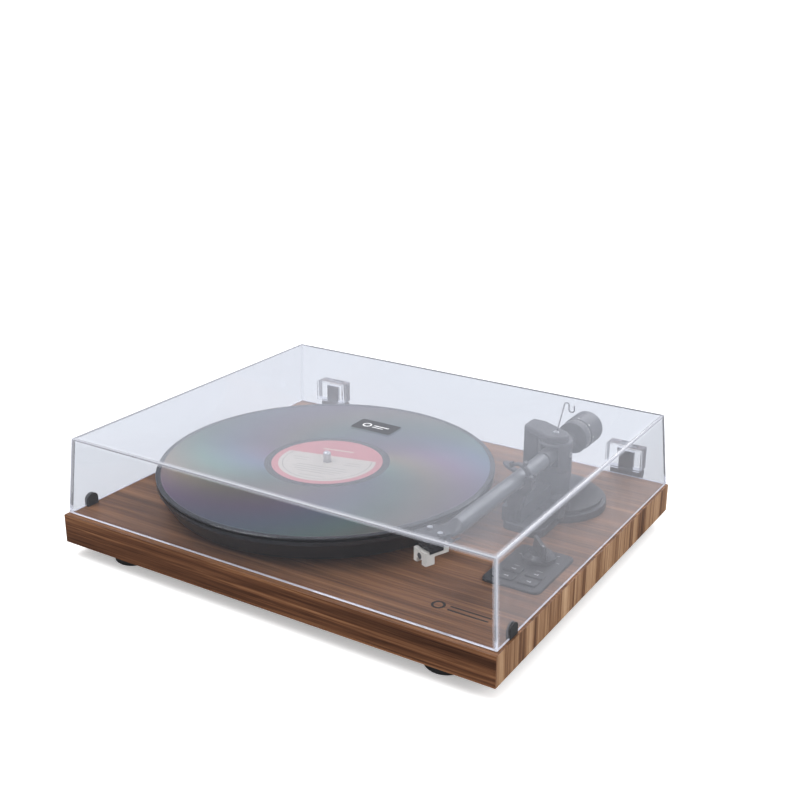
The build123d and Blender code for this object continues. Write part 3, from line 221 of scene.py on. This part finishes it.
# ------------------------------------------------------------------ finishes
def walnut():
    """Walnut veneer: grain along X on the top and front, upright stripes on the two ends."""
    g = Graph("walnut")
    along = g.stretched(1.1, 80.0, 80.0)
    parts = g.add("ShaderNodeSeparateXYZ")
    g.link(g.normal, parts.inputs[0])
    side = g.math("GREATER_THAN", g.math("ABSOLUTE", parts.outputs[0]), 0.7)
    top = g.math("GREATER_THAN", parts.outputs[2], 0.7)
    broad = g.noise(along, 0.9, 3.0, 0.5, 0.7)
    fine = g.noise(along, 6.0, 4.0, 0.62, 0.2)
    pore = g.noise(g.stretched(14.0, 520.0, 520.0), 1.6, 2.0, 0.5)
    mixed = g.math("ADD", g.math("MULTIPLY", broad, 0.50), g.math("MULTIPLY", fine, 0.50))
    colour = g.ramp(mixed, [
        (0.32, (0.040, 0.015, 0.007)), (0.45, (0.100, 0.040, 0.018)),
        (0.54, (0.185, 0.082, 0.037)), (0.68, (0.300, 0.150, 0.072)),
    ])
    pores = g.ramp(pore, [(0.36, (0.55, 0.5, 0.47)), (0.50, (1.0, 1.0, 1.0))])
    colour = g.mix(0.75, colour, pores, "MULTIPLY")
    # the right and left edges show the veneer's stripes standing upright
    upright = g.vector(0.0, g.math("MULTIPLY", g.y, 100.0), g.math("MULTIPLY", g.z, 2.0))
    wide = g.noise(upright, 0.55, 2.0, 0.5, 0.3)
    thin = g.noise(upright, 3.2, 4.0, 0.7, 0.1)
    stripes = g.ramp(g.math("ADD", g.math("MULTIPLY", wide, 0.55), g.math("MULTIPLY", thin, 0.45)), [
        (0.36, (0.040, 0.017, 0.008)), (0.46, (0.150, 0.072, 0.034)),
        (0.53, (0.270, 0.155, 0.082)), (0.64, (0.440, 0.290, 0.175)),
    ])
    lifted = g.mix(side, colour, stripes)
    # painted light: up-facing faces are mixed a tenth of the way toward a pale brown, a lighter top where
    # light falls
    lifted = g.mix(g.math("MULTIPLY", top, 0.10), lifted, (0.40, 0.26, 0.16))
    # a plain ring and two bars printed on the front right of the top
    mark_x = 141.0 * MM
    mark_y = DECK_LOW.y + 41.0 * MM
    bar_x = mark_x + 26.0 * MM
    bar_gap = 2.6 * MM
    ring = g.hypot(g.math("SUBTRACT", g.x, mark_x), g.math("SUBTRACT", g.y, mark_y))
    bars = [g.rect(g.x, g.y, bar_x, mark_y + rise, 34.0 * MM, 1.8 * MM) for rise in (bar_gap, -bar_gap)]
    print_mark = g.any(g.between(ring, 3.6 * MM, 5.6 * MM), *bars)
    lifted = g.mix(g.math("MULTIPLY", print_mark, top), lifted, (0.012, 0.011, 0.010))
    g.set(Base_Color=lifted, Specular_IOR_Level=0.15)
    g.put(g.math("MULTIPLY_ADD", fine, 0.16, 0.32), g.shader.inputs["Roughness"])
    g.bump(pore, 0.12, 0.0002)
    return g.mat


def record_vinyl():
    """Fine grooves with smooth bands between the tracks, and a painted rainbow sheen mixed into the base
    colour.
    """
    g = Graph("vinyl")
    r, angle = g.polar(PLATTER)[:2]
    bands = [60.5, 78.0, 95.5, 112.0, 129.5, 144.5]
    gaps = g.any(*[g.between(r, (b - 0.35) * MM, (b + 0.35) * MM) for b in bands])
    smooth = g.math("MULTIPLY", gaps, 0.10)
    smooth = g.any(smooth, g.math("LESS_THAN", r, 56.5 * MM), g.math("GREATER_THAN", r, 146.3 * MM))
    ring = g.noise(g.vector(g.math("MULTIPLY", r, 2600.0), 0.0, 0.0), 1.0, 3.0, 0.7)
    # painted sheen: a pastel rainbow highlight painted into the base colour, strongest in two lobes round
    # the centre and weaker on the smooth bands
    two = g.math("MULTIPLY", angle, 2.0)
    lobe = g.math("MULTIPLY_ADD", g.math("COSINE", g.math("SUBTRACT", two, 1.1)), 0.5, 0.5)
    lobe = g.math("POWER", lobe, 5.0)
    hue = g.math("ADD", g.math("MULTIPLY", r, 7.0), g.math("MULTIPLY", angle, 0.48))
    rainbow = g.ramp(g.math("FRACT", hue), [
        (0.0, (0.46, 0.26, 0.52)), (0.25, (0.22, 0.36, 0.60)), (0.5, (0.20, 0.54, 0.42)),
        (0.75, (0.54, 0.42, 0.26)), (1.0, (0.46, 0.26, 0.52)),
    ])
    dark = g.mix(ring, (0.007, 0.007, 0.008), (0.016, 0.016, 0.018))
    glow = g.math("MULTIPLY", g.math("MULTIPLY_ADD", lobe, 0.7, 0.3), g.math("SUBTRACT", 1.0, smooth))
    sheen = g.mix(g.math("MULTIPLY", glow, 0.26), dark, rainbow)
    g.set(Base_Color=sheen, Specular_IOR_Level=0.55, Anisotropic=0.35)
    tangent = g.add("ShaderNodeTangent", direction_type="RADIAL", axis="Z")
    g.link(tangent.outputs[0], g.shader.inputs["Tangent"])
    g.put(g.math("MULTIPLY_ADD", smooth, -0.20, 0.30), g.shader.inputs["Roughness"])
    g.bump(g.math("MULTIPLY", ring, g.math("SUBTRACT", 1.0, smooth)), 0.10, 0.0001)
    return g.mat


def label_print():
    """A generic record label: red rim, cream middle, red upper part and faint rows."""
    g = Graph("label_print")
    r, _, dx, dy = g.polar(PLATTER)
    disc = g.math("LESS_THAN", r, 44.0 * MM)
    u, v = g.turned(dx, dy, 0.22)
    upper = g.math("GREATER_THAN", v, 13.0 * MM)
    red_share = g.any(g.math("SUBTRACT", 1.0, disc), upper)
    rows = g.any(*[g.rect(u, v, a * MM, b * MM, w * MM, 1.0 * MM) for a, b, w in (
        (-26.0, 2.0, 15.0), (25.0, 2.0, 13.0), (-25.0, -3.0, 12.0), (25.0, -3.0, 16.0),
        (0.0, -13.0, 46.0), (0.0, -17.5, 52.0), (0.0, -22.0, 44.0), (0.0, -26.5, 36.0), (0.0, -34.0, 24.0))])
    speck = g.noise(g.coord, 2600.0, 1.0)
    rows = g.math("MULTIPLY", rows, g.math("GREATER_THAN", speck, 0.44))
    mark = g.between(r, 39.8 * MM, 40.4 * MM)
    rows = g.math("MAXIMUM", rows, g.math("MULTIPLY", mark, g.math("LESS_THAN", v, 12.0 * MM)))
    cream = g.mix(g.math("MULTIPLY", rows, 0.7), (0.42, 0.39, 0.35), (0.07, 0.06, 0.06))
    star = g.rect(u, v, 0.0, 27.0 * MM, 30.0 * MM, 2.2 * MM)
    red = g.mix(star, (0.40, 0.15, 0.16), (0.46, 0.42, 0.36))
    g.set(Base_Color=g.mix(red_share, cream, red), Specular_IOR_Level=0.4)
    g.put(g.math("MULTIPLY_ADD", speck, 0.1, 0.45), g.shader.inputs["Roughness"])
    return g.mat


def clear_plastic(name, tint, painted_glow_top, painted_glow_side, painted_glow_flank, shade):
    """Clear plastic. Its top and flanks carry a faint veil of painted light, an emission that glows, and its
    edges and lower rim get a pale matte shader as a painted highlight.
    """
    g = Graph(name)
    speck = g.noise(g.coord, 60.0, 3.0)
    g.set(Base_Color=(*tint, 1.0), Transmission_Weight=1.0, IOR=1.49, Specular_IOR_Level=0.5, Roughness=0.0)
    parts = g.add("ShaderNodeSeparateXYZ")
    g.link(g.normal, parts.inputs[0])
    # painted light: how strongly the emitted veil glows on the top, the sides and the flanks, made uneven by
    # noise
    flat = g.math("GREATER_THAN", g.math("ABSOLUTE", parts.outputs[2]), 0.97)
    glow_unevenness = g.math("MULTIPLY_ADD", speck, 0.6, 0.7)
    flank = g.math("GREATER_THAN", g.math("ABSOLUTE", parts.outputs[0]), 0.9)
    wall = g.math("MULTIPLY_ADD", flank, painted_glow_flank, painted_glow_side)
    painted_glow = g.math("MULTIPLY", g.math("MAXIMUM", wall, g.math("MULTIPLY", flat, painted_glow_top)), glow_unevenness)
    # how far each point lies inside the cover's four outer faces, whose walls lean in by LID_LEAN
    half = (LID_HIGH.x - LID_LOW.x) / 2
    rear = Vector(JOINTS["lid_hinge"]["pos_m"]).y - LID_REAR_SETBACK
    up = g.math("SUBTRACT", g.z, LID_LOW.z)
    side_gap = g.math("SUBTRACT", g.math("MULTIPLY_ADD", up, -LID_LEAN, half), g.math("ABSOLUTE", g.x))
    front_gap = g.math("SUBTRACT", g.y, g.math("MULTIPLY_ADD", up, LID_LEAN, LID_LOW.y))
    rear_gap = g.math("SUBTRACT", g.math("MULTIPLY_ADD", up, -LID_LEAN, rear), g.y)
    top_gap = g.math("SUBTRACT", LID_HIGH.z, g.z)
    gaps = (side_gap, front_gap, rear_gap, top_gap)
    outer = g.two_of([g.math("LESS_THAN", gap, 1.0 * MM) for gap in gaps])
    inner = g.two_of([g.math("LESS_THAN", gap, 3.6 * MM) for gap in gaps])
    edge = g.any(outer, g.math("LESS_THAN", up, 0.5 * MM))
    # painted highlight: edges and the lower rim are mixed with a pale matte shader so they look lit
    rim = g.math("MAXIMUM", g.math("MULTIPLY", inner, 0.16), g.math("MULTIPLY", edge, 0.40))
    # painted light: an emission glows on the top and flanks as a veil of light
    veil = g.add("ShaderNodeEmission")
    veil.inputs["Color"].default_value = (0.90, 0.91, 0.98, 1.0)
    veil.inputs["Strength"].default_value = 1.0
    with_painted_glow = g.blend(painted_glow, g.shader.outputs[0], veil.outputs[0])
    lit = g.blend(rim, with_painted_glow, g.matte((0.80, 0.82, 0.91)))
    through = g.add("ShaderNodeBsdfTransparent")
    through.inputs["Color"].default_value = shade
    path = g.add("ShaderNodeLightPath")
    g.link(g.blend(path.outputs["Is Shadow Ray"], lit, through.outputs[0]), g.out.inputs["Surface"])
    return g.mat


def plate_print():
    """Black plate with a ring of small marks round the knob and one beside each button."""
    g = plain("plate_print", (0.018, 0.018, 0.019), 0.42)
    r, angle, _, dy = g.polar(KNOB)
    ticks = g.math("LESS_THAN", g.math("ABSOLUTE", g.math("SINE", g.math("MULTIPLY", angle, 4.0))), 0.10)
    ring = g.math("MULTIPLY", ticks, g.between(r, 15.2 * MM, 17.4 * MM))
    ring = g.math("MULTIPLY", ring, g.math("GREATER_THAN", dy, -9.0 * MM))
    low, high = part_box("control_plate")
    mid = (low + high) / 2
    bars = [g.rect(g.x, g.y, mid.x + sx * 9.65 * MM, mid.y - 2.6 * MM, 5.0 * MM, 0.7 * MM) for sx in (-1, 1)]
    marks = g.math("MULTIPLY", g.any(ring, *bars), g.math("GREATER_THAN", g.z, high.z - 0.2 * MM))
    g.set(Base_Color=g.mix(marks, (0.018, 0.018, 0.019), (0.34, 0.34, 0.33)))
    return g.mat


def button_face(node):
    """Black button with one small white sign on top."""
    low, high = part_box(node)
    mid = (low + high) / 2
    g = plain(f"face_{node}", BLACK, 0.36)
    bar = g.rect(g.x, g.y, mid.x, mid.y, 2.2 * MM, 0.9 * MM)
    dot = g.rect(g.x, g.y, mid.x + 2.0 * MM, mid.y, 0.8 * MM, 2.2 * MM)
    marks = g.math("MULTIPLY", g.any(bar, dot), g.math("GREATER_THAN", g.z, high.z - 0.3 * MM))
    g.set(Base_Color=g.mix(marks, BLACK, (0.60, 0.60, 0.59)))
    return g.mat


def knob_face():
    """Black knob with a white line along its bar."""
    g = plain("knob_face", (0.015, 0.015, 0.016), 0.33)
    dx = g.math("SUBTRACT", g.x, KNOB.x)
    dy = g.math("SUBTRACT", g.y, KNOB.y)
    u, v = g.turned(dx, dy, math.radians(-48.0))
    on_top = g.math("GREATER_THAN", g.z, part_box("selector_knob")[1].z - 0.3 * MM)
    line = g.math("MULTIPLY", g.rect(u, v, 8.5 * MM, 0.0, 3.0 * MM, 0.8 * MM), on_top)
    g.set(Base_Color=g.mix(line, (0.015, 0.015, 0.016), (0.50, 0.50, 0.49)))
    return g.mat


def dial_face(name, count, y_low, y_high):
    """Black ring with white marks round it."""
    g = plain(name, (0.017, 0.017, 0.018), 0.36)
    dx = g.math("SUBTRACT", g.x, PIVOT.x)
    dz = g.math("SUBTRACT", g.z, PIVOT.z)
    angle = g.math("ARCTAN2", dz, dx)
    ticks = g.math("GREATER_THAN", g.math("COSINE", g.math("MULTIPLY", angle, float(count))), 0.93)
    marks = g.math("MULTIPLY", ticks, g.between(g.y, y_low, y_high))
    g.set(Base_Color=g.mix(marks, (0.017, 0.017, 0.018), (0.72, 0.72, 0.70)))
    return g.mat


def brushed(name, colour, rough):
    """Metal with fine lines round an upright axis."""
    g = Graph(name)
    lines = g.noise(g.stretched(60.0, 60.0, 900.0), 1.0, 2.0)
    g.set(Base_Color=(*colour, 1.0), Metallic=1.0)
    g.put(g.math("MULTIPLY_ADD", lines, 0.18, rough - 0.09), g.shader.inputs["Roughness"])
    return g.mat


def crossed_screw(name, centre, colour, axis):
    """A bright screw head with painted shade: its cross recess is painted near black on its face."""
    g = plain(name, colour, 0.3, metal=1.0)
    a, b, a0, b0 = {"z": (g.x, g.y, centre.x, centre.y), "x": (g.y, g.z, centre.y, centre.z)}[axis]
    cross = g.any(g.rect(a, b, a0, b0, 3.0 * MM, 0.6 * MM), g.rect(a, b, a0, b0, 0.6 * MM, 3.0 * MM))
    # painted shade: the cross recess is painted near black
    g.set(Base_Color=g.mix(cross, colour, (0.01, 0.01, 0.01)))
    return g.mat


black = plain("black_satin", BLACK, 0.38).mat
black_paint = plain("black_paint", (0.020, 0.020, 0.021), 0.40, grain=0.04, grain_scale=500.0).mat
gloss = plain("black_gloss", (0.010, 0.010, 0.011), 0.14).mat
rubber = plain("rubber", (0.018, 0.018, 0.018), 0.62, grain=0.12).mat
felt = plain("felt", (0.022, 0.022, 0.023), 0.95, grain_scale=2500.0, spec=0.2).mat
steel = brushed("steel", (0.62, 0.62, 0.63), 0.30)
bright = plain("bright_metal", (0.80, 0.80, 0.81), 0.10, metal=1.0).mat
gold = plain("gold", (0.83, 0.62, 0.28), 0.22, metal=1.0).mat
green = plain("green_board", (0.02, 0.12, 0.06), 0.4).mat


def stylus_face():
    """Cream stylus guard with a dark round recess painted on its front."""
    g = plain("cream_plastic", (0.62, 0.60, 0.55), 0.34)
    low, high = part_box("headshell_screws")
    mid = (low + high) / 2
    headshell_yaw = math.radians(22.4)
    spot_height = 35.0 * MM
    dx = g.math("SUBTRACT", g.x, mid.x)
    dy = g.math("SUBTRACT", g.y, mid.y)
    cos, sin = math.cos(headshell_yaw), math.sin(headshell_yaw)
    ahead = g.math("MULTIPLY_ADD", dx, -sin, g.math("MULTIPLY", dy, -cos))
    aside = g.math("MULTIPLY_ADD", dx, cos, g.math("MULTIPLY", dy, -sin))
    dz = g.math("SUBTRACT", g.z, DECK_Z + spot_height)
    r = g.hypot(aside, dz)
    spot = g.math("MULTIPLY", g.math("LESS_THAN", r, 2.5 * MM), g.math("GREATER_THAN", ahead, 13.0 * MM))
    g.set(Base_Color=g.mix(spot, (0.62, 0.60, 0.55), (0.06, 0.06, 0.065)))
    return g.mat


cream = stylus_face()
tube = plain("tube_grey", (0.115, 0.12, 0.125), 0.42, metal=0.55, grain=0.10, grain_scale=1500.0).mat
clear = clear_plastic("clear_cover", tint=(0.925, 0.932, 0.955), painted_glow_top=0.045, painted_glow_side=0.002,
                      painted_glow_flank=0.054, shade=(0.93, 0.93, 0.95, 1.0))
platter_black = plain("platter_black", BLACK, 0.30, grain=0.08).mat

FINISH = {
    "veneer": walnut(), "black_metal": black_paint, "cover_metal": black_paint,
    "platter_metal": platter_black, "rubber_foot": rubber, "felt": felt,
    "vinyl": record_vinyl(), "label_paper": label_print(), "steel": steel,
    "bright": bright, "tube_metal": tube, "black_plastic": black, "gloss_black": gloss, "cream": cream,
    "clear": clear, "board": green, "belt_rubber": rubber, "gold": gold,
}
dial_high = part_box("force_dial")[1]
weight_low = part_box("counterweight")[0]
SPECIAL = {
    "control_plate": plate_print(), "selector_knob": knob_face(), "lid_bumpers": rubber,
    "antiskate_hook": plain("dark_wire", (0.10, 0.10, 0.105), 0.35, metal=0.6).mat,
    "tower_pin": crossed_screw("tower_screw", PIVOT, (0.55, 0.55, 0.56), "z"),
    "pivot_screws": crossed_screw("side_screw", PIVOT, (0.50, 0.50, 0.51), "x"),
    "force_dial": dial_face("dial_marks", 30, dial_high.y - 3.2 * MM, dial_high.y - 0.6 * MM),
    "counterweight": dial_face("weight_marks", 8, weight_low.y + 1.0 * MM, weight_low.y + 3.0 * MM),
}
for name in NODES:
    if name.startswith("button_") and name != "button_board":
        SPECIAL[name] = button_face(name)
slots = {s["node"]: s["material_slot"] for s in frame["record"]["subparts"]}
for name, node in NODES.items():
    node.data.materials.clear()
    node.data.materials.append(SPECIAL.get(name, FINISH[slots[name]]))


# ------------------------------------------------------------------ small pieces that CAD leaves out
def mesh_piece(name, points, faces, material, body):
    mesh = bpy.data.meshes.new(name)
    mesh.from_pydata([tuple(p) for p in points], [], faces)
    mesh.update()
    obj = bpy.data.objects.new(name, mesh)
    bpy.context.scene.collection.objects.link(obj)
    mesh.materials.append(material)
    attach(obj, body)
    return obj


def rounded(width, depth, radius, steps=5):
    """Outline of a rectangle with round corners, round its centre."""
    line = []
    for cx, cy, start in ((1, 1, 0), (-1, 1, 90), (-1, -1, 180), (1, -1, 270)):
        for i in range(steps + 1):
            a = math.radians(start + 90 * i / steps)
            line.append((cx * (width / 2 - radius) + radius * math.cos(a),
                         cy * (depth / 2 - radius) + radius * math.sin(a)))
    return line


def prism(name, outline, low, high, material, body):
    """A closed plate with the given outline between two heights."""
    n = len(outline)
    points = [Vector((x, y, low)) for x, y in outline] + [Vector((x, y, high)) for x, y in outline]
    faces = [tuple(reversed(range(n))), tuple(range(n, 2 * n))]
    faces += [(i, (i + 1) % n, n + (i + 1) % n, n + i) for i in range(n)]
    return mesh_piece(name, points, faces, material, body)


def sticker_paper():
    """Black label with a plain ring and two bars."""
    g = plain("sticker_paper", (0.012, 0.012, 0.012), 0.4)
    r = g.hypot(g.math("SUBTRACT", g.x, STICKER_X - 9.0 * MM), g.math("SUBTRACT", g.y, STICKER_Y))
    long_bar = g.rect(g.x, g.y, STICKER_X + 5.0 * MM, STICKER_Y + 1.2 * MM, 15.0 * MM, 1.6 * MM)
    short_bar = g.rect(g.x, g.y, STICKER_X + 3.0 * MM, STICKER_Y - 2.4 * MM, 11.0 * MM, 1.2 * MM)
    marks = g.any(g.between(r, 2.8 * MM, 4.2 * MM), long_bar, short_bar)
    g.set(Base_Color=g.mix(marks, (0.012, 0.012, 0.012), (0.80, 0.80, 0.79)))
    return g.mat


sticker = [(STICKER_X + x, STICKER_Y + y) for x, y in rounded(40.0 * MM, 22.0 * MM, 2.0 * MM)]
prism("cover_sticker", sticker, LID_HIGH.z - 0.12 * MM, LID_HIGH.z - 0.02 * MM,
      sticker_paper(), "lid")


# ------------------------------------------------------------------ room, light and camera
def floor_paint():
    """Pale floor with a slight glow. It is darker where it is mirrored, or seen through clear plastic."""
    g = Graph("floor_paint")
    g.set(Base_Color=(0.93, 0.93, 0.93, 1.0), Roughness=0.9, Specular_IOR_Level=0.1,
          Emission_Color=(1.0, 1.0, 1.0, 1.0))
    mirrored_dim = g.add("ShaderNodeBsdfDiffuse")
    shades = g.ramp(g.math("MULTIPLY", g.x, 1.4), [(0.30, (0.20, 0.20, 0.205)), (0.75, (0.52, 0.52, 0.54))])
    g.link(shades, mirrored_dim.inputs["Color"])
    path = g.add("ShaderNodeLightPath")
    glossy = path.outputs["Glossy Depth"]
    through = g.math("MULTIPLY", path.outputs["Is Transmission Ray"], g.math("LESS_THAN", glossy, 0.5))
    g.set(Emission_Strength=g.math("MULTIPLY_ADD", path.outputs["Is Camera Ray"], 0.3, 0.02))
    seen = g.blend(g.math("GREATER_THAN", glossy, 0.5), g.shader.outputs[0], mirrored_dim.outputs[0])
    g.link(g.blend(through, seen, g.matte((0.62, 0.64, 0.665))), g.out.inputs["Surface"])
    return g.mat


FLOOR_HALF = 60.0
corners = [(-FLOOR_HALF, -FLOOR_HALF, 0), (FLOOR_HALF, -FLOOR_HALF, 0), (FLOOR_HALF, FLOOR_HALF, 0),
           (-FLOOR_HALF, FLOOR_HALF, 0)]
floor_mesh = bpy.data.meshes.new("floor")
floor_mesh.from_pydata(corners, [], [(0, 1, 2, 3)])
floor = bpy.data.objects.new("floor", floor_mesh)
bpy.context.scene.collection.objects.link(floor)
floor_mesh.materials.append(floor_paint())

world = bpy.data.worlds.new("room")
bpy.context.scene.world = world
world.use_nodes = True
room = world.node_tree
backdrop = room.nodes["Background"]
backdrop.inputs[0].default_value = (1.0, 1.0, 1.0, 1.0)
backdrop.inputs[1].default_value = 0.95
mirrored = room.nodes.new("ShaderNodeBackground")
mirrored.inputs[0].default_value = (0.85, 0.89, 1.0, 1.0)
mirrored.inputs[1].default_value = 0.92
which = room.nodes.new("ShaderNodeMixShader")
path = room.nodes.new("ShaderNodeLightPath")
in_mirror = room.nodes.new("ShaderNodeMath")
in_mirror.operation = "GREATER_THAN"
in_mirror.inputs[1].default_value = 0.5
room.links.new(path.outputs["Glossy Depth"], in_mirror.inputs[0])
room.links.new(in_mirror.outputs[0], which.inputs[0])
room.links.new(backdrop.outputs[0], which.inputs[1])
room.links.new(mirrored.outputs[0], which.inputs[2])
room.links.new(which.outputs[0], room.nodes["World Output"].inputs["Surface"])


def softbox(name, place, target, width, height, power):
    light = bpy.data.lights.new(name, "AREA")
    light.shape = "RECTANGLE"
    light.size = width
    light.size_y = height
    light.energy = power
    obj = bpy.data.objects.new(name, light)
    bpy.context.scene.collection.objects.link(obj)
    obj.location = place
    obj.rotation_mode = "QUATERNION"
    obj.rotation_quaternion = (Vector(target) - Vector(place)).to_track_quat("-Z", "Y")


softbox("key", (-0.9, -0.5, 1.6), (0, 0, 0.05), 1.2, 0.9, 16.0)
softbox("back", (0.3, 1.6, 1.2), (0, 0, 0.05), 1.6, 0.6, 14.0)
softbox("right", (1.6, -0.2, 0.9), (0, 0, 0.05), 0.9, 0.9, 8.0)

camera_data = bpy.data.cameras.new("camera")
camera = bpy.data.objects.new("camera", camera_data)
bpy.context.scene.collection.objects.link(camera)
camera.location = (0.5118, -0.78845, 0.4687)
camera.rotation_euler = Euler((math.radians(90.0 - 19.77), math.radians(-0.24), math.radians(31.94)), "XYZ")
camera_data.sensor_width = 36.0
camera_data.lens = 51.6825
camera_data.clip_start = 0.02
camera_data.clip_end = 60.0
bpy.context.scene.camera = camera
bpy.context.scene.view_settings.view_transform = "Standard"
